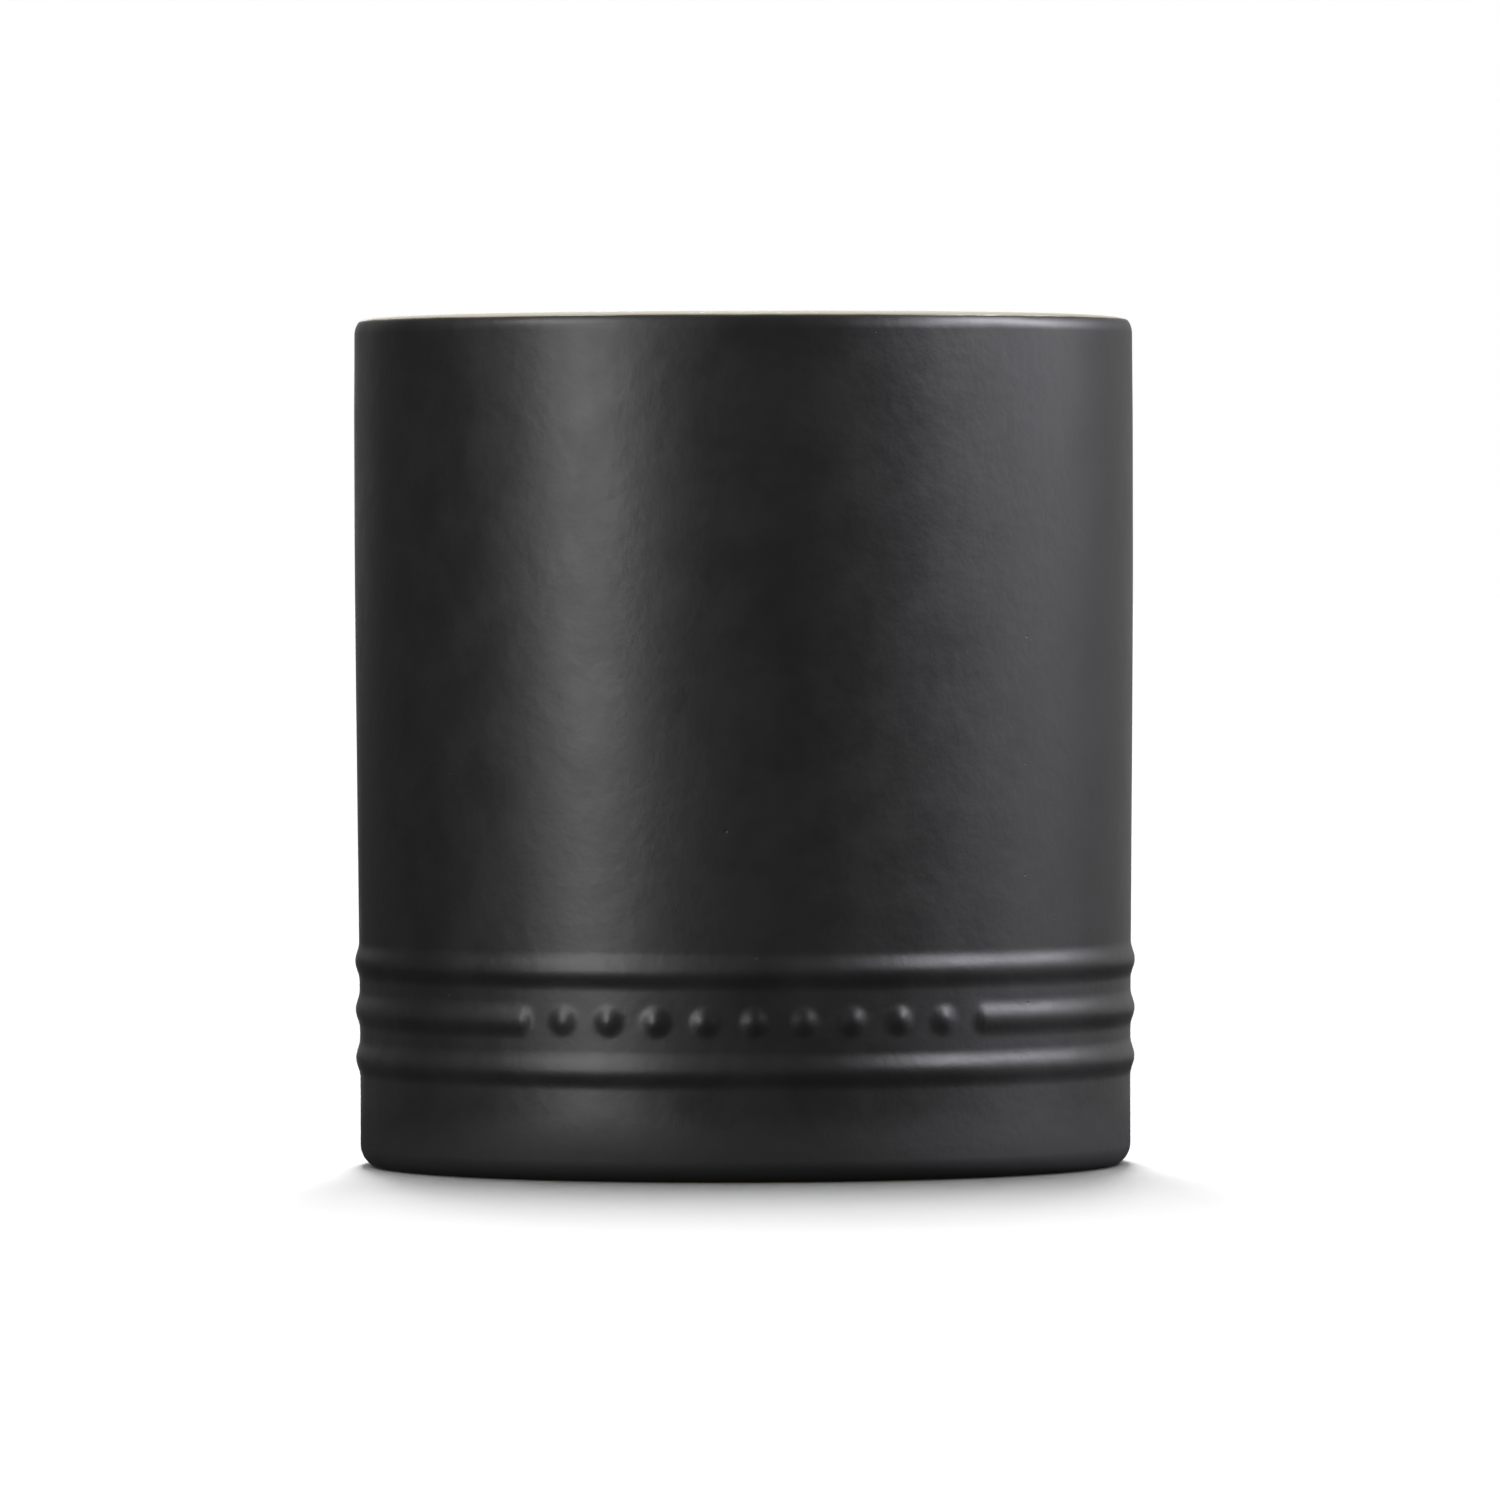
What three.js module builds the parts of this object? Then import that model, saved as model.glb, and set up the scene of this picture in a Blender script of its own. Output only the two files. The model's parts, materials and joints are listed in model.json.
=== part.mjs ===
import * as THREE from "three";

// An empty stoneware candle jar: a straight-sided cup with a rounded rim and three moulded bands
// low on the wall. The middle band stops at the front for a row of raised beads. A satin black
// glaze covers the outside, and a cream glaze lines the inside and laps over the rim.
// Millimetres, +Z up. The origin is the middle of the ring that the jar stands on, and the
// beaded front faces -Y. Angles turn about the axis from the front, positive towards +X.

// Overall size
const HEIGHT = 100;
const WALL_RADIUS = 45.94; // outside, where the wall is widest
const FOOT_RADIUS = 45.44; // outside, just above the rounded foot
const BORE_RADIUS = 41.3; // inside, on the cream glaze
const FLOOR_HEIGHT = 6.5; // inside floor, on the cream glaze
const GLAZE = 0.4;

// Wall and rim
const WALL_SPREAD_HEIGHT = 80; // the wall spreads a little up to here
const WALL_CLOSE_HEIGHT = 87; // and closes by a hair from here to the rim
const WALL_CLOSE = 0.06;
const WALL_HEIGHTS = [40, 54, 68, 87];
const RIM_ROUND_WIDTH = 1.5;
const RIM_ROUND_HEIGHT = 2.1;
const RIM_CENTRE_HEIGHT = HEIGHT - RIM_ROUND_HEIGHT;
const RIM_GLAZE_EDGE = THREE.MathUtils.degToRad(50); // on the rim's outer rounding, cream above
const RIM_STEPS = 3;
const FLOOR_ROUND = 6;

// Foot
const FOOT_ROUND_WIDTH = 2.2;
const FOOT_ROUND_HEIGHT = 2.6;
const FOOT_GLAZE_EDGE = THREE.MathUtils.degToRad(78); // just off the ground; bare clay inside
const FOOT_RING_OUTER = 43.4;
const FOOT_RING_INNER = 38;
const RECESS_RADIUS = 37.2;
const RECESS_DEPTH = 1.5;
const RECESS_GLAZE = 0.3;
const RECESS_GLAZE_RADIUS = 36.9;

// Moulded bands and beads
const BAND_HEIGHTS = [12.8, 18.5, 24.2];
const MIDDLE_BAND = BAND_HEIGHTS[1];
const BAND_HALF_WIDTH = 2.25;
const BAND_RISE = 0.48;
const BAND_STATIONS = [-1, -0.5, 0, 0.5, 1];
const BEADS = 9;
const COLUMNS_PER_BEAD = 4;

// Columns of facets around the jar: fine across the beaded front, coarser behind
const FRONT_HALF_ANGLE = THREE.MathUtils.degToRad(36);
const FRONT_COLUMNS = 40;
const BACK_COLUMNS = 32;
const COLUMNS = FRONT_COLUMNS + BACK_COLUMNS;
const FRONT_STEP = (2 * FRONT_HALF_ANGLE) / FRONT_COLUMNS;
const BACK_STEP = (2 * (Math.PI - FRONT_HALF_ANGLE)) / BACK_COLUMNS;
const BEAD_PITCH = COLUMNS_PER_BEAD * FRONT_STEP;
const BEAD_ROW_HALF_ANGLE = (BEADS * BEAD_PITCH) / 2;

// Points from one angle to another on a circle or an ellipse, both ends included.
function arc(centreRadius, centreHeight, width, height, from, to, steps) {
  const points = [];
  for (let step = 0; step <= steps; step += 1) {
    const angle = from + ((to - from) * step) / steps;
    const radius = centreRadius + width * Math.cos(angle);
    points.push(new THREE.Vector2(radius, centreHeight + height * Math.sin(angle)));
  }
  return points;
}

// Outside radius of the plain wall, without its bands.
function wallRadius(height) {
  const spread = THREE.MathUtils.smoothstep(height, 0, WALL_SPREAD_HEIGHT);
  const close = THREE.MathUtils.smoothstep(height, WALL_CLOSE_HEIGHT, RIM_CENTRE_HEIGHT);
  return FOOT_RADIUS + (WALL_RADIUS - FOOT_RADIUS) * spread - WALL_CLOSE * close;
}

// How far a band stands out, from -1 at its lower edge to 1 at its upper edge.
function bandRise(station) {
  if (Math.abs(station) >= 1) {
    return 0;
  }
  return BAND_RISE * Math.cos((Math.PI / 2) * station) ** 2;
}

// Where the rim's outer rounding is struck from.
function outerRimCentre() {
  return wallRadius(RIM_CENTRE_HEIGHT) - RIM_ROUND_WIDTH;
}

// A stretch of one of the rim's two roundings, inset by a thickness.
function rimRound(centreRadius, inset, from, to) {
  const width = RIM_ROUND_WIDTH - inset;
  const height = RIM_ROUND_HEIGHT - inset;
  return arc(centreRadius, RIM_CENTRE_HEIGHT, width, height, from, to, RIM_STEPS);
}

// The outside from the glaze's lower edge up to its edge on the rim, inset by a thickness.
function outsideOutline(inset) {
  const footCentre = wallRadius(FOOT_ROUND_HEIGHT) - FOOT_ROUND_WIDTH;
  const foot = arc(
    footCentre,
    FOOT_ROUND_HEIGHT,
    FOOT_ROUND_WIDTH - inset,
    FOOT_ROUND_HEIGHT - inset,
    -FOOT_GLAZE_EDGE,
    0,
    3,
  );
  const bands = BAND_HEIGHTS.flatMap((crest) =>
    BAND_STATIONS.map((station) => {
      const height = crest + station * BAND_HALF_WIDTH;
      return new THREE.Vector2(wallRadius(height) + bandRise(station) - inset, height);
    }),
  );
  const wall = WALL_HEIGHTS.map((height) => new THREE.Vector2(wallRadius(height) - inset, height));
  const rim = rimRound(outerRimCentre(), inset, 0, RIM_GLAZE_EDGE);
  return [...foot, ...bands, ...wall, ...rim];
}

// From the glaze's edge on the rim, over the top and down the inside to the middle of the floor.
function insideOutline(inset) {
  const innerRimCentre = BORE_RADIUS + RIM_ROUND_WIDTH;
  const floorRound = FLOOR_ROUND + inset;
  const floorCentre = BORE_RADIUS - FLOOR_ROUND;
  return [
    ...rimRound(outerRimCentre(), inset, RIM_GLAZE_EDGE, Math.PI / 2),
    ...rimRound(innerRimCentre, inset, Math.PI / 2, Math.PI),
    ...arc(floorCentre, FLOOR_HEIGHT + FLOOR_ROUND, floorRound, floorRound, 0, -Math.PI / 2, 3),
    new THREE.Vector2(0, FLOOR_HEIGHT - inset),
  ];
}

// Angle of a column of vertices; the last column falls on the first.
function columnAngle(column) {
  const index = column % COLUMNS;
  if (index <= FRONT_COLUMNS) {
    return index * FRONT_STEP - FRONT_HALF_ANGLE;
  }
  return FRONT_HALF_ANGLE + (index - FRONT_COLUMNS) * BACK_STEP;
}

// Share of the middle band's height at an angle: whole behind, and single beads at the front.
function middleBandShare(angle) {
  if (Math.abs(angle) > BEAD_ROW_HALF_ANGLE) {
    const bandEnd = FRONT_HALF_ANGLE - FRONT_STEP;
    return THREE.MathUtils.smoothstep(Math.abs(angle), bandEnd, FRONT_HALF_ANGLE);
  }
  const offset = angle - Math.round(angle / BEAD_PITCH) * BEAD_PITCH;
  return Math.cos((Math.PI * offset) / BEAD_PITCH) ** 2;
}

// Turns an outline about the axis, with the beads let into the middle band.
function turned(outline) {
  const geometry = new THREE.LatheGeometry(outline, COLUMNS);
  const position = geometry.getAttribute("position");
  for (let column = 0; column <= COLUMNS; column += 1) {
    const angle = columnAngle(column);
    const cutBack = 1 - middleBandShare(angle);
    outline.forEach((point, row) => {
      const station = (point.y - MIDDLE_BAND) / BAND_HALF_WIDTH;
      const radius = point.x - cutBack * bandRise(station);
      const vertex = column * outline.length + row;
      position.setXYZ(vertex, radius * Math.sin(angle), -radius * Math.cos(angle), point.y);
    });
  }
  geometry.deleteAttribute("normal");
  return geometry;
}

// The same surface with its faces turned to the other side.
function facesReversed(geometry) {
  const index = geometry.getIndex();
  for (let corner = 0; corner < index.count; corner += 3) {
    const second = index.getX(corner + 1);
    index.setX(corner + 1, index.getX(corner + 2));
    index.setX(corner + 2, second);
  }
  return geometry;
}

function piece(name, geometry, color, roughness) {
  const material = new THREE.MeshStandardMaterial({ color, roughness, metalness: 0 });
  const mesh = new THREE.Mesh(geometry, material);
  mesh.name = name;
  return mesh;
}

// The fired clay: foot ring, wall with its bands and beads, rim and floor.
function stonewareBody() {
  const outline = [
    new THREE.Vector2(0, RECESS_DEPTH),
    new THREE.Vector2(RECESS_RADIUS, RECESS_DEPTH),
    new THREE.Vector2(FOOT_RING_INNER, 0),
    new THREE.Vector2(FOOT_RING_OUTER, 0),
    ...outsideOutline(GLAZE),
    ...insideOutline(GLAZE).slice(1),
  ];
  return piece("stoneware_body", turned(outline), 0xb9a283, 0.85);
}

// The black coat, from just off the ground to the rim's outer rounding. Its outline runs the
// same way as the clay's, so that both have the same facets where they touch.
function outerGlaze() {
  const againstClay = outsideOutline(GLAZE);
  const outline = [...againstClay, ...outsideOutline(0).reverse(), againstClay[0]];
  return piece("outer_glaze", facesReversed(turned(outline)), 0x201f1e, 0.42);
}

// The cream coat, from the rim's outer rounding over the top and down to the whole floor.
function linerGlaze() {
  const outline = [...insideOutline(0).reverse(), ...insideOutline(GLAZE)];
  return piece("liner_glaze", facesReversed(turned(outline)), 0xd8d1c4, 0.25);
}

// The black coat on the underside, set up inside the bare foot ring.
function undersideGlaze() {
  const outline = [
    new THREE.Vector2(0, RECESS_DEPTH - RECESS_GLAZE),
    new THREE.Vector2(RECESS_GLAZE_RADIUS, RECESS_DEPTH - RECESS_GLAZE),
    new THREE.Vector2(RECESS_GLAZE_RADIUS, RECESS_DEPTH),
    new THREE.Vector2(0, RECESS_DEPTH),
  ];
  return piece("underside_glaze", turned(outline), 0x201f1e, 0.42);
}

const jar = new THREE.Group();
jar.add(stonewareBody(), outerGlaze(), linerGlaze(), undersideGlaze());

export default jar;
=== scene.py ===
"""An empty stoneware candle jar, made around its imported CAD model.

The jar is one cast pot with three fused coats: satin black outside, gloss cream inside and over
the rim, and black again in the recess under the foot. Three soft bands run round the wall low
down, and the middle one stops at the front for a row of raised beads.
Metres, +Z up, the beaded front towards -Y. Angles turn about the axis from that front, positive
towards +X.
"""

import json
import math

import bmesh
import bpy
from mathutils import Matrix, Vector, noise


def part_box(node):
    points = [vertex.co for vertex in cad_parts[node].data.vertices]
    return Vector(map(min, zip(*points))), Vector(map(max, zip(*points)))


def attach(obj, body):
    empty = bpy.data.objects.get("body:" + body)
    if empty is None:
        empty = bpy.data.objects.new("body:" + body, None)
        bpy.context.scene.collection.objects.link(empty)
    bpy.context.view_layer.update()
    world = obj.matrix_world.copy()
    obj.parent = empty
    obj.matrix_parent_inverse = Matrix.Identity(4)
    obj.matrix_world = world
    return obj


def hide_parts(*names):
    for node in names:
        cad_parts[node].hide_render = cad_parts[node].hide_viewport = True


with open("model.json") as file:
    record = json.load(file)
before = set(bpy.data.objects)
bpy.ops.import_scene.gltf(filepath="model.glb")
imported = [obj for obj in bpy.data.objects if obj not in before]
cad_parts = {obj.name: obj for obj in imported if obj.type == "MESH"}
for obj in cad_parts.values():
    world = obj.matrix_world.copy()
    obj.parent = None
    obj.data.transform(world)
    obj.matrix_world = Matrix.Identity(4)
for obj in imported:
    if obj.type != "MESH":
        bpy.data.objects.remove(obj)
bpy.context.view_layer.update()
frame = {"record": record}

MM = 0.001

# Places that the CAD model gives
mounts = {mount["name"]: Vector(mount["pos_m"]) for mount in frame["record"]["mounts"]}
HEIGHT = mounts["rim"].z
FLOOR_HEIGHT = mounts["wick_seat"].z
COAT = FLOOR_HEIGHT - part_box("liner_glaze")[0].z
BAND_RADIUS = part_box("outer_glaze")[1].x
RECESS_COAT_LOW, RECESS_COAT_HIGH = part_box("underside_glaze")

# Wall, rim and floor
BAND_RISE = 0.48 * MM
WALL_SPREAD = 0.5 * MM
SPREAD_HEIGHT = 80 * MM
CLOSE_HEIGHT = 87 * MM
WALL_CLOSE = 0.06 * MM
RIM_WIDTH = 1.5 * MM
RIM_HEIGHT = 2.1 * MM
RIM_EDGE = math.radians(50)
RIM_LINE_WIDTH = 0.4 * MM
BORE_RADIUS = 41.3 * MM
FLOOR_ROUND = 6 * MM

# Foot
FOOT_ROUND_WIDTH = 2.2 * MM
FOOT_ROUND_HEIGHT = 2.6 * MM
FOOT_EDGE = math.radians(-78)
FOOT_RING_OUTER = 43.4 * MM
FOOT_RING_INNER = 38 * MM
FOOT_CORNER = 0.2 * MM
RECESS_RADIUS = 37.2 * MM

# Bands and beads
BAND_HEIGHTS = (12.8 * MM, 18.5 * MM, 24.2 * MM)
BAND_HALF_WIDTH = 2.25 * MM
BAND_ZONE = (10.2 * MM, 26.8 * MM)
BAND_END_ANGLE = math.radians(35.6)
BAND_END_LENGTH = 1.3 * MM
BEAD_PITCH = math.radians(7.2)
BEAD_COUNT = 9
BEAD_RADIUS = 2.1 * MM

# Columns of faces round the jar, gathered towards the beaded front
COLUMNS = 400
FRONT_GATHER = 0.7

# Unevenness, as (how far, times round the jar): the coats' dips, and the rim line's wander
DIPS = ((0.012 * MM, 5), (0.004 * MM, 17))
RIM_LINE_WANDERS = ((0.05, 4), (0.03, 13))


# Points nearer than these are taken as one, and as lying on the jar's axis
MERGE_DISTANCE = 0.0001 * MM
ON_AXIS = 0.001 * MM


def smooth(value, low, high):
    """0 below low, 1 above high, smooth between."""
    share = min(max((value - low) / (high - low), 0), 1)
    return share * share * (3 - 2 * share)


def steps(start, end, count):
    """Evenly spaced values from start to end, both included."""
    return [start + (end - start) * index / count for index in range(count + 1)]


def arc(centre, width, height, start, end, count):
    """Points on a circle or an ellipse, as (radius, height)."""
    return [
        (centre[0] + width * math.cos(angle), centre[1] + height * math.sin(angle))
        for angle in steps(start, end, count)
    ]


TOP_CREST = BAND_HEIGHTS[-1]
FOOT_RADIUS = BAND_RADIUS - BAND_RISE - WALL_SPREAD * smooth(TOP_CREST, 0, SPREAD_HEIGHT)
RIM_CENTRE_HEIGHT = HEIGHT - RIM_HEIGHT


def wall_radius(height):
    """Outside of the plain wall: it spreads a little upwards and closes by a hair at the top."""
    spread = WALL_SPREAD * smooth(height, 0, SPREAD_HEIGHT)
    return FOOT_RADIUS + spread - WALL_CLOSE * smooth(height, CLOSE_HEIGHT, RIM_CENTRE_HEIGHT)


RIM_CENTRE = (wall_radius(RIM_CENTRE_HEIGHT) - RIM_WIDTH, RIM_CENTRE_HEIGHT)
INNER_RIM_CENTRE = (BORE_RADIUS + RIM_WIDTH, RIM_CENTRE_HEIGHT)
FOOT_CENTRE = (wall_radius(FOOT_ROUND_HEIGHT) - FOOT_ROUND_WIDTH, FOOT_ROUND_HEIGHT)
FLOOR_CENTRE = (BORE_RADIUS - FLOOR_ROUND, FLOOR_HEIGHT + FLOOR_ROUND)


# ---------------------------------------------------------------- shapes


def hump(distance):
    """A band's soft section: 1 on its crest, 0 from its edge outwards."""
    return math.cos(math.pi / 2 * distance) ** 2 if distance < 1 else 0


def relief(angle, height):
    """How far the bands and beads stand out at a place on the wall, from 0 to 1."""
    if not BAND_ZONE[0] < height < BAND_ZONE[1]:
        return 0
    low, middle, top = BAND_HEIGHTS
    rise = max(hump(abs(height - crest) / BAND_HALF_WIDTH) for crest in (low, top))
    past_end = max(0, BAND_END_ANGLE - abs(angle)) * BAND_RADIUS / BAND_END_LENGTH
    upright = (height - middle) / BAND_HALF_WIDTH
    rise = max(rise, hump(math.hypot(past_end, upright)))
    bead = round(angle / BEAD_PITCH)
    if abs(bead) <= BEAD_COUNT // 2:
        across = (angle - bead * BEAD_PITCH) * BAND_RADIUS
        from_middle = math.hypot(across, height - middle) / BEAD_RADIUS
        rise = max(rise, 1 - smooth(from_middle, 0, 1))
    return rise


def skin_dip(angle, height):
    """The coat's slow unevenness: always inwards, a few hundredths of a millimetre."""
    place = Vector((math.sin(angle), math.cos(angle), height / BAND_RADIUS))
    return sum(depth * (1 + noise.noise(place * scale)) for depth, scale in DIPS)


def outside_outline(inset, fine):
    """The outside from the black coat's lower edge up to its edge on the rim."""
    rows = (14, 5, 66, 30, 14) if fine else (5, 2, 28, 12, 5)
    foot, low_wall, bands, wall, rim = rows
    width, height = FOOT_ROUND_WIDTH - inset, FOOT_ROUND_HEIGHT - inset
    heights = (
        steps(FOOT_ROUND_HEIGHT, BAND_ZONE[0], low_wall)[1:]
        + steps(*BAND_ZONE, bands)[1:]
        + steps(BAND_ZONE[1], RIM_CENTRE_HEIGHT, wall)[1:-1]
    )
    return (
        arc(FOOT_CENTRE, width, height, FOOT_EDGE, 0, foot)
        + [(wall_radius(level) - inset, level) for level in heights]
        + arc(RIM_CENTRE, RIM_WIDTH - inset, RIM_HEIGHT - inset, 0, RIM_EDGE, rim)
    )


def inside_outline(inset, fine):
    """From the coats' edge on the rim, over the top and down to the middle of the floor."""
    rows = (8, 14, 30, 20, 12) if fine else (3, 6, 8, 8, 3)
    outer, inner, wall, fillet, floor = rows
    width, height = RIM_WIDTH - inset, RIM_HEIGHT - inset
    corner = FLOOR_ROUND + inset
    heights = steps(RIM_CENTRE_HEIGHT, FLOOR_CENTRE[1], wall)[1:-1]
    radii = steps(FLOOR_CENTRE[0], 0, floor)[1:]
    return (
        arc(RIM_CENTRE, width, height, RIM_EDGE, math.pi / 2, outer)
        + arc(INNER_RIM_CENTRE, width, height, math.pi / 2, math.pi, inner)
        + [(BORE_RADIUS + inset, level) for level in heights]
        + arc(FLOOR_CENTRE, corner, corner, 0, -math.pi / 2, fillet)
        + [(radius, FLOOR_HEIGHT - inset) for radius in radii]
    )


def turned(outline, closed):
    """Spins an outline a full turn about the jar's axis."""
    shell = bmesh.new()
    points = [shell.verts.new((radius, 0, height)) for radius, height in outline]
    following = points[1:] + points[:1] if closed else points[1:]
    edges = [shell.edges.new(pair) for pair in zip(points, following)]
    bmesh.ops.spin(
        shell,
        geom=points + edges,
        cent=(0, 0, 0),
        axis=(0, 0, 1),
        angle=2 * math.pi,
        steps=COLUMNS,
        use_merge=True,
    )
    bmesh.ops.remove_doubles(shell, verts=shell.verts, dist=MERGE_DISTANCE)
    bmesh.ops.recalc_face_normals(shell, faces=shell.faces)
    return shell


def shaped(shell):
    """Gathers the columns to the front, raises the bands and beads, and wavers the rim's edge."""
    rim_line = shell.verts.layers.float.new("rim_line")
    for vert in shell.verts:
        radius = math.hypot(vert.co.x, vert.co.y)
        height = vert.co.z
        if radius < ON_AXIS:
            continue
        angle = math.atan2(vert.co.x, -vert.co.y)
        angle -= FRONT_GATHER * math.sin(angle)
        if radius > RIM_CENTRE[0] and height >= RIM_CENTRE[1]:
            radius, height = rim_waver(radius, height, angle)
            vert[rim_line] = rim_nearness(radius, height, angle)
        elif radius > FOOT_CENTRE[0] and height > FOOT_ROUND_HEIGHT:
            away = smooth(height, FOOT_ROUND_HEIGHT, BAND_ZONE[0])
            radius += relief(angle, height) * BAND_RISE - away * skin_dip(angle, height)
        vert.co = (radius * math.sin(angle), -radius * math.cos(angle), height)
    return shell


def rim_line_angle(angle):
    """Where on the rim's rounding black meets cream, at an angle round the jar."""
    place = Vector((math.sin(angle), math.cos(angle), 0))
    wander = sum(reach * noise.noise(place * scale) for reach, scale in RIM_LINE_WANDERS)
    return RIM_EDGE + wander


def rim_turn(radius, height):
    """A point on the rim's rounding as its angle and its reach, 1 on the outermost surface."""
    outwards = (radius - RIM_CENTRE[0]) / RIM_WIDTH
    upwards = (height - RIM_CENTRE[1]) / RIM_HEIGHT
    return math.atan2(upwards, outwards), math.hypot(outwards, upwards)


def rim_waver(radius, height, angle):
    """Slides a point along the rim's rounding, most at the line where the coats meet."""
    turn, reach = rim_turn(radius, height)
    reach -= smooth(RIM_EDGE - turn, -0.8, 0.8) * skin_dip(angle, height) / RIM_WIDTH
    turn += (rim_line_angle(angle) - RIM_EDGE) * math.sin(2 * turn)
    outwards, upwards = reach * math.cos(turn), reach * math.sin(turn)
    return RIM_CENTRE[0] + RIM_WIDTH * outwards, RIM_CENTRE[1] + RIM_HEIGHT * upwards


def rim_nearness(radius, height, angle):
    """1 at the line where the coats meet, falling to 0 a little way from it."""
    turn, _ = rim_turn(radius, height)
    away = abs(turn - rim_line_angle(angle)) * (RIM_WIDTH + RIM_HEIGHT) / 2
    return 1 - smooth(away, 0, RIM_LINE_WIDTH)


def piece(name, shell, material, node):
    """Makes the finished mesh, and hands it over in place of its CAD node."""
    mesh = bpy.data.meshes.new(name)
    shell.to_mesh(mesh)
    shell.free()
    mesh.polygons.foreach_set("use_smooth", [True] * len(mesh.polygons))
    made = bpy.data.objects.new(name, mesh)
    bpy.context.scene.collection.objects.link(made)
    mesh.materials.append(material)
    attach(made, "root")
    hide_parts(node)
    return made


def clay_pot(material):
    recess = RECESS_COAT_HIGH.z
    outline = (
        [(0, recess), (RECESS_RADIUS * 0.5, recess), (RECESS_RADIUS, recess)]
        + [(FOOT_RING_INNER, FOOT_CORNER), (FOOT_RING_INNER + FOOT_CORNER, 0)]
        + [(radius, 0) for radius in steps(FOOT_RING_INNER + 2 * FOOT_CORNER, FOOT_RING_OUTER, 5)]
        + outside_outline(COAT, False)
        + inside_outline(COAT, False)[1:]
    )
    shell = shaped(turned(outline, False))
    return piece("clay_pot", shell, material, "stoneware_body")


def black_coat(material):
    outline = outside_outline(0, True) + outside_outline(COAT, False)[::-1]
    shell = shaped(turned(outline, True))
    return piece("black_coat", shell, material, "outer_glaze")


def cream_coat(material):
    outline = inside_outline(0, True)[::-1] + inside_outline(COAT, False)
    shell = shaped(turned(outline, False))
    return piece("cream_coat", shell, material, "liner_glaze")


def recess_coat(material):
    low, high = RECESS_COAT_LOW.z, RECESS_COAT_HIGH.z
    edge = high - low
    radius = RECESS_COAT_HIGH.x
    outline = (
        [(share * (radius - edge), low) for share in steps(0, 1, 10)]
        + arc((radius - edge, high), edge, edge, -math.pi / 2, 0, 5)[1:]
        + [(0, high)]
    )
    shell = turned(outline, False)
    return piece("recess_coat", shell, material, "underside_glaze")


# ---------------------------------------------------------------- finishes

# Sockets that a Mix node uses when it mixes colours
MIX_FIRST_COLOUR, MIX_SECOND_COLOUR = 6, 7
MIX_COLOUR = 2

GLAZE_IOR = 1.5


def new_group(name, inputs, outputs):
    """A shader node group with named float, colour or vector sockets."""
    kinds = {"value": "NodeSocketFloat", "colour": "NodeSocketColor", "vector": "NodeSocketVector"}
    group = bpy.data.node_groups.new(name, "ShaderNodeTree")
    for socket, kind in inputs:
        group.interface.new_socket(name=socket, in_out="INPUT", socket_type=kinds[kind])
    for socket, kind in outputs:
        group.interface.new_socket(name=socket, in_out="OUTPUT", socket_type=kinds[kind])
    return group


def add(tree, kind, links=None, **settings):
    """Adds a node, sets its properties, and fills its inputs with values or other sockets."""
    node = tree.nodes.new(kind)
    for setting, value in settings.items():
        setattr(node, setting, value)
    for socket, value in (links or {}).items():
        if isinstance(value, bpy.types.NodeSocket):
            tree.links.new(value, node.inputs[socket])
        else:
            node.inputs[socket].default_value = value
    return node


def math_of(tree, operation, first, second):
    return add(tree, "ShaderNodeMath", {0: first, 1: second}, operation=operation).outputs[0]


def fade(tree, value, low, high):
    """0 below low, 1 above high, smooth between; low may be the higher of the two."""
    links = {"Value": value, "From Min": low, "From Max": high}
    return add(tree, "ShaderNodeMapRange", links, interpolation_type="SMOOTHSTEP").outputs["Result"]


def speckle_noise(tree, place, scale, detail, roughness=0.5):
    links = {"Vector": place, "Scale": scale, "Detail": detail, "Roughness": roughness}
    return add(tree, "ShaderNodeTexNoise", links).outputs["Fac"]


def coat_skin_group():
    """A fired coat's skin: slow clouding, and a fine eggshell height."""
    group = new_group(
        "coat_skin",
        [("Place", "vector"), ("Cloud Size", "value"), ("Eggshell Size", "value")],
        [("Cloud", "value"), ("Eggshell", "value")],
    )
    start = group.nodes.new("NodeGroupInput")
    end = group.nodes.new("NodeGroupOutput")
    place = start.outputs["Place"]
    clouds_per_metre = math_of(group, "DIVIDE", 1.0, start.outputs["Cloud Size"])
    shells_per_metre = math_of(group, "DIVIDE", 1.0, start.outputs["Eggshell Size"])
    cloud = speckle_noise(group, place, clouds_per_metre, 4.0, 0.6)
    shell = speckle_noise(group, place, shells_per_metre, 3.0, 0.55)
    group.links.new(fade(group, cloud, 0.3, 0.7), end.inputs["Cloud"])
    group.links.new(shell, end.inputs["Eggshell"])
    return group


def fleck_group():
    """Rare small round flecks, such as pinholes or iron specks: 1 inside a fleck, 0 between."""
    group = new_group(
        "flecks",
        [("Place", "vector"), ("Spacing", "value"), ("Share", "value"), ("Size", "value")],
        [("Fleck", "value")],
    )
    start = group.nodes.new("NodeGroupInput")
    end = group.nodes.new("NodeGroupOutput")
    cells_per_metre = math_of(group, "DIVIDE", 1.0, start.outputs["Spacing"])
    links = {"Vector": start.outputs["Place"], "Scale": cells_per_metre}
    cells = add(group, "ShaderNodeTexVoronoi", links, feature="F1").outputs
    draw = add(group, "ShaderNodeSeparateColor", {"Color": cells["Color"]}).outputs
    chosen = math_of(group, "LESS_THAN", draw["Red"], start.outputs["Share"])
    size = math_of(group, "MULTIPLY", draw["Green"], start.outputs["Size"])
    inside = fade(group, cells["Distance"], size, 0.0)
    fleck = math_of(group, "MULTIPLY", chosen, inside)
    group.links.new(fleck, end.inputs["Fleck"])
    return group


def new_material(name):
    material = bpy.data.materials.new(name)
    material.use_nodes = True
    tree = material.node_tree
    shader = tree.nodes["Principled BSDF"]
    place = tree.nodes.new("ShaderNodeTexCoord").outputs["Object"]
    return material, tree, shader, place


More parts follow.
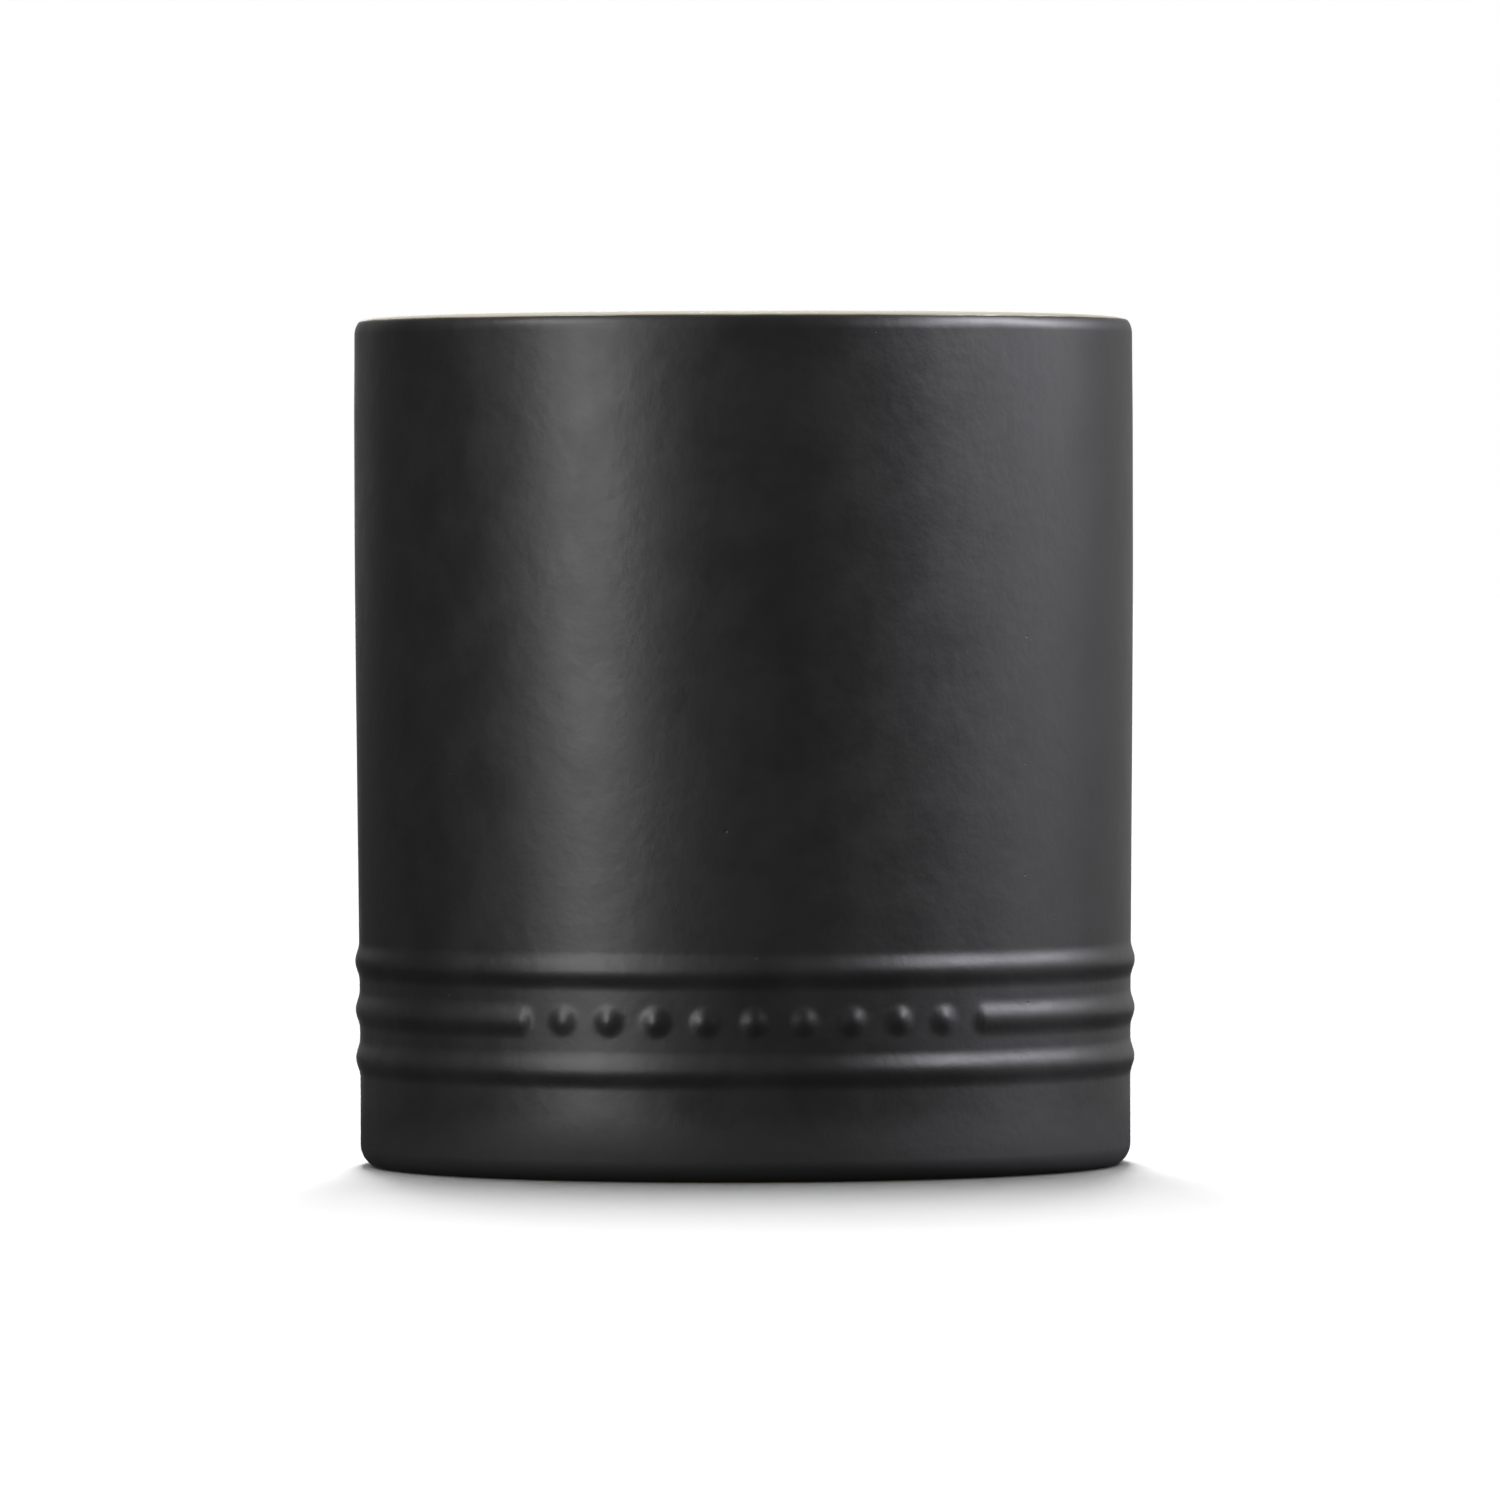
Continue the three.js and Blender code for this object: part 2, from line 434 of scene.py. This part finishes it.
def use_group(tree, group, links):
    """Places a node group in a material, and returns its outputs."""
    return add(tree, "ShaderNodeGroup", links, node_tree=group).outputs


def blend_colours(tree, share, first, second):
    """From the first colour to the second as share runs from 0 to 1."""
    links = {"Factor": share, MIX_FIRST_COLOUR: first, MIX_SECOND_COLOUR: second}
    return add(tree, "ShaderNodeMix", links, data_type="RGBA").outputs[MIX_COLOUR]


def between(tree, share, low, high):
    """A value that runs from low to high as share runs from 0 to 1."""
    links = {"Value": share, "To Min": low, "To Max": high}
    return add(tree, "ShaderNodeMapRange", links).outputs["Result"]


def bumped(tree, shader, height, distance):
    links = {"Height": height, "Distance": distance, "Strength": 1.0}
    bump = add(tree, "ShaderNodeBump", links)
    tree.links.new(bump.outputs["Normal"], shader.inputs["Normal"])


def satin_black(name, skin, flecks, on_wall):
    """Black satin glaze, faintly hammered and pitted. On the wall it shows brown where it thins
    at the rim line, and just above the foot it carries painted shade: darker, and rougher."""
    material, tree, shader, place = new_material(name)
    shader.inputs["IOR"].default_value = GLAZE_IOR
    coat = use_group(tree, skin, {"Place": place, "Cloud Size": 7 * MM, "Eggshell Size": 2.4 * MM})
    holes = {"Place": place, "Spacing": 3.5 * MM, "Share": 0.12, "Size": 0.09}
    pits = use_group(tree, flecks, holes)
    deep, open_black = (0.021, 0.021, 0.021, 1), (0.027, 0.027, 0.027, 1)
    colour = blend_colours(tree, coat["Cloud"], deep, open_black)
    roughness = between(tree, coat["Cloud"], 0.40, 0.46)
    if on_wall:
        brown, painted_foot_shade = (0.075, 0.062, 0.052, 1), (0.010, 0.010, 0.010, 1)
        near_rim = add(tree, "ShaderNodeAttribute", attribute_name="rim_line").outputs["Fac"]
        colour = blend_colours(tree, math_of(tree, "MULTIPLY", near_rim, 0.8), colour, brown)
        height = add(tree, "ShaderNodeSeparateXYZ", {"Vector": place}).outputs["Z"]
        # Painted shade: the black is darkened and roughened from 9 mm down to 1.5 mm, standing in
        # for the shadowed floor that the foot would reflect
        foot_shade_mask = fade(tree, height, 9 * MM, 1.5 * MM)
        colour = blend_colours(tree, foot_shade_mask, colour, painted_foot_shade)
        foot_shade_roughness = math_of(tree, "MULTIPLY", foot_shade_mask, 0.3)
        roughness = math_of(tree, "ADD", roughness, foot_shade_roughness)
    tree.links.new(colour, shader.inputs["Base Color"])
    tree.links.new(roughness, shader.inputs["Roughness"])
    surface = math_of(tree, "SUBTRACT", coat["Eggshell"], pits["Fleck"])
    bumped(tree, shader, surface, 0.055 * MM)
    return material


def cream_gloss(skin, flecks):
    """Cream liner glaze: glossy, a little warmer where it pools, with rare brown iron specks."""
    material, tree, shader, place = new_material("cream_gloss")
    shader.inputs["IOR"].default_value = GLAZE_IOR
    coat = use_group(tree, skin, {"Place": place, "Cloud Size": 16 * MM, "Eggshell Size": 2.2 * MM})
    iron = use_group(tree, flecks, {"Place": place, "Spacing": 6 * MM, "Share": 0.16, "Size": 0.06})
    pale, warm = (0.74, 0.70, 0.61, 1), (0.67, 0.61, 0.50, 1)
    height = add(tree, "ShaderNodeSeparateXYZ", {"Vector": place}).outputs["Z"]
    pooled = fade(tree, height, FLOOR_HEIGHT + 2.5 * FLOOR_ROUND, FLOOR_HEIGHT)
    clouded = math_of(tree, "MULTIPLY", coat["Cloud"], 0.35)
    colour = blend_colours(tree, math_of(tree, "MAXIMUM", pooled, clouded), pale, warm)
    iron_brown, thin_brown = (0.16, 0.09, 0.045, 1), (0.33, 0.29, 0.24, 1)
    colour = blend_colours(tree, iron["Fleck"], colour, iron_brown)
    near_rim = add(tree, "ShaderNodeAttribute", attribute_name="rim_line").outputs["Fac"]
    colour = blend_colours(tree, math_of(tree, "MULTIPLY", near_rim, 0.5), colour, thin_brown)
    tree.links.new(colour, shader.inputs["Base Color"])
    tree.links.new(between(tree, coat["Cloud"], 0.13, 0.22), shader.inputs["Roughness"])
    rings = add(
        tree,
        "ShaderNodeTexWave",
        {"Vector": place, "Scale": 22.0, "Distortion": 1.5, "Detail": 1.0, "Detail Scale": 2.0},
        wave_type="BANDS",
        bands_direction="Z",
    ).outputs["Fac"]
    surface = math_of(tree, "ADD", coat["Eggshell"], math_of(tree, "MULTIPLY", rings, 0.6))
    bumped(tree, shader, surface, 0.02 * MM)
    return material


def bare_clay(skin, flecks):
    """Unglazed buff stoneware: dry, sandy, with dark and light grit."""
    material, tree, shader, place = new_material("bare_stoneware")
    body = use_group(tree, skin, {"Place": place, "Cloud Size": 9 * MM, "Eggshell Size": 0.45 * MM})
    grit = use_group(tree, flecks, {"Place": place, "Spacing": 1.1 * MM, "Share": 0.3, "Size": 0.3})
    pale, toasted = (0.52, 0.40, 0.27, 1), (0.40, 0.27, 0.16, 1)
    dark_grit = (0.17, 0.11, 0.07, 1)
    colour = blend_colours(tree, body["Cloud"], pale, toasted)
    stained = math_of(tree, "MULTIPLY", grit["Fleck"], 0.7)
    colour = blend_colours(tree, stained, colour, dark_grit)
    tree.links.new(colour, shader.inputs["Base Color"])
    tree.links.new(between(tree, body["Eggshell"], 0.78, 0.95), shader.inputs["Roughness"])
    raised = math_of(tree, "MULTIPLY", grit["Fleck"], 0.5)
    surface = math_of(tree, "ADD", body["Eggshell"], raised)
    bumped(tree, shader, surface, 0.08 * MM)
    return material


# ---------------------------------------------------------------- studio

LIGHT_DISTANCE = 0.5
NEUTRAL_WHITE = (1, 1, 1)
COOL_WHITE = (1.015, 1, 1.08)

# The overhead suns: pairs leaning further and further back, in degrees, each pair turned to the
# left and to the right
OVERHEAD_PAIRS = 8
OVERHEAD_STRENGTH = 4.5
OVERHEAD_DISC = math.radians(6)
OVERHEAD_FIRST_LEAN = 2
OVERHEAD_LEAN_RANGE = 54
OVERHEAD_TURN = math.radians(5)

# The lamps over the floor at the foot's sides; the place is that of the right one
FILL_WIDTH, FILL_DEPTH = 20 * MM, 40 * MM
FILL_POWER = 0.003
FILL_PLACE = (60 * MM, -8 * MM, 24 * MM)

# How far the floor reaches from the jar, in metres
FLOOR_HALF_SIZE = 12

# The camera: its lens and sensor in millimetres, its place, and its turns in degrees
LENS = 305.4
SENSOR_WIDTH = 36
CAMERA_PLACE = (0.66 * MM, -1502 * MM, 74.2 * MM)
CAMERA_AZIMUTH, CAMERA_DIP, CAMERA_ROLL = -1.4, 0.964, -0.168


def softbox(name, azimuth, height, width, tall, radiance, colour=NEUTRAL_WHITE):
    """A rectangular softbox that faces the jar and is seen only in its coats' reflections."""
    lamp = bpy.data.lights.new(name, "AREA")
    lamp.shape = "RECTANGLE"
    lamp.size, lamp.size_y = width, tall
    lamp.energy = radiance * math.pi * width * tall
    lamp.color = colour
    box = bpy.data.objects.new(name, lamp)
    turn = math.radians(azimuth)
    box.location = (LIGHT_DISTANCE * math.sin(turn), -LIGHT_DISTANCE * math.cos(turn), height)
    aim = box.location - Vector((0, 0, HEIGHT / 2))
    box.rotation_euler = aim.to_track_quat("Z", "Y").to_euler()
    box.visible_camera = False
    box.visible_diffuse = False
    bpy.context.scene.collection.objects.link(box)


def softboxes():
    """A tall strip to the left, a broad group high to the right, the floor's glow below on both
    sides, and a dim wall of light behind."""
    softbox("left_strip", -46, 0.14, 0.14, 0.30, 8.6)
    softbox("left_high", -60, 0.46, 0.20, 0.14, 20)
    softbox("left_floor_glow", -50, -0.10, 0.20, 0.12, 0.6)
    softbox("right_front", 60, 0.27, 0.14, 0.14, 15.4, COOL_WHITE)
    softbox("right_side", 88, 0.08, 0.40, 0.16, 1.4, COOL_WHITE)
    softbox("right_high", 80, 0.41, 0.16, 0.12, 48, COOL_WHITE)
    softbox("right_rear", 100, 0.27, 0.16, 0.14, 18.3, COOL_WHITE)
    softbox("right_floor_glow", 90, -0.12, 0.40, 0.14, 0.5, COOL_WHITE)
    softbox("back_right", 140, 0.15, 0.50, 0.35, 0.35)
    softbox("back_left", -150, 0.20, 0.20, 0.30, 0.25)
    softbox("backdrop", 180, 0.15, 0.30, 0.40, 1.0)


def overhead_fan():
    """A double fan of narrow suns, from overhead to well behind the jar and a little to each
    side. They light the floor, the clay and the cream evenly, and draw the jar's soft shadow
    towards the front."""
    for index in range(OVERHEAD_PAIRS):
        for side in (-1, 1):
            name = f"overhead_{index}_{'right' if side > 0 else 'left'}"
            lamp = bpy.data.lights.new(name, "SUN")
            lamp.angle = OVERHEAD_DISC
            lamp.energy = OVERHEAD_STRENGTH / (2 * OVERHEAD_PAIRS)
            sun = bpy.data.objects.new(name, lamp)
            lean = OVERHEAD_FIRST_LEAN + OVERHEAD_LEAN_RANGE * index / OVERHEAD_PAIRS
            sun.rotation_euler = (-math.radians(lean), 0, side * OVERHEAD_TURN)
            sun.visible_glossy = False
            bpy.context.scene.collection.objects.link(sun)


def corner_fills():
    """A small lamp over the floor beside each side of the foot. It lifts the shadow there."""
    across, along, height = FILL_PLACE
    for name, side in (("left_corner_fill", -1), ("right_corner_fill", 1)):
        lamp = bpy.data.lights.new(name, "AREA")
        lamp.shape = "RECTANGLE"
        lamp.size, lamp.size_y = FILL_WIDTH, FILL_DEPTH
        lamp.energy = FILL_POWER
        fill = bpy.data.objects.new(name, lamp)
        fill.location = (side * across, along, height)
        fill.visible_camera = False
        fill.visible_glossy = False
        bpy.context.scene.collection.objects.link(fill)


def white_floor():
    floor = bmesh.new()
    bmesh.ops.create_grid(floor, x_segments=1, y_segments=1, size=FLOOR_HALF_SIZE)
    mesh = bpy.data.meshes.new("floor")
    floor.to_mesh(mesh)
    floor.free()
    plane = bpy.data.objects.new("floor", mesh)
    bpy.context.scene.collection.objects.link(plane)
    material, tree, shader, place = new_material("floor_paper")
    paper = speckle_noise(tree, place, 40.0, 3.0)
    colour = blend_colours(tree, paper, (0.72, 0.72, 0.72, 1), (0.76, 0.76, 0.76, 1))
    tree.links.new(colour, shader.inputs["Base Color"])
    shader.inputs["Roughness"].default_value = 1
    shader.inputs["Specular IOR Level"].default_value = 0
    mesh.materials.append(material)
    plane.visible_glossy = False
    plane.visible_diffuse = False
    plane.visible_shadow = False


def studio_world():
    """White behind the jar for the eye; a level band of light all round and a little from above,
    much dimmer in the coats' reflections, which the softboxes fill."""
    world = bpy.data.worlds.new("studio")
    world.use_nodes = True
    tree = world.node_tree
    background = tree.nodes["Background"]
    direction = tree.nodes.new("ShaderNodeTexCoord").outputs["Generated"]
    up = add(tree, "ShaderNodeSeparateXYZ", {"Vector": direction}).outputs["Z"]
    black, white = (0, 0, 0, 1), (1, 1, 1, 1)
    level = math_of(tree, "MULTIPLY", fade(tree, up, -0.35, -0.05), fade(tree, up, 0.35, 0.05))
    mirrored_level = math_of(tree, "MULTIPLY", fade(tree, up, -0.3, 0.1), fade(tree, up, 0.6, 0.1))
    overhead = blend_colours(tree, fade(tree, up, 0.0, 0.3), black, (0.18, 0.18, 0.18, 1))
    all_round = blend_colours(tree, level, overhead, white)
    mirrored = blend_colours(tree, mirrored_level, black, (0.10, 0.10, 0.10, 1))
    path = tree.nodes.new("ShaderNodeLightPath").outputs
    colour = blend_colours(tree, path["Is Glossy Ray"], all_round, mirrored)
    colour = blend_colours(tree, path["Is Camera Ray"], colour, white)
    tree.links.new(colour, background.inputs["Color"])
    bpy.context.scene.world = world


def camera():
    """A long lens a metre and a half away, just below the rim's height."""
    lens = bpy.data.cameras.new("camera")
    lens.lens = LENS
    lens.sensor_width = SENSOR_WIDTH
    lens.clip_start, lens.clip_end = 0.05, 60
    eye = bpy.data.objects.new("camera", lens)
    turn = Matrix.Rotation(math.radians(CAMERA_AZIMUTH), 4, "Z")
    place = Matrix.Translation(CAMERA_PLACE)
    pitch = Matrix.Rotation(math.radians(90 - CAMERA_DIP), 4, "X")
    roll = Matrix.Rotation(math.radians(CAMERA_ROLL), 4, "Z")
    eye.matrix_world = turn @ place @ pitch @ roll
    bpy.context.scene.collection.objects.link(eye)
    bpy.context.scene.camera = eye


def build_jar():
    skin, flecks = coat_skin_group(), fleck_group()
    clay_pot(bare_clay(skin, flecks))
    black_coat(satin_black("satin_black", skin, flecks, True))
    cream_coat(cream_gloss(skin, flecks))
    recess_coat(satin_black("satin_black_recess", skin, flecks, False))


def build_studio():
    softboxes()
    overhead_fan()
    corner_fills()
    white_floor()
    studio_world()
    camera()
    bpy.context.scene.view_settings.view_transform = "Standard"


build_jar()
build_studio()
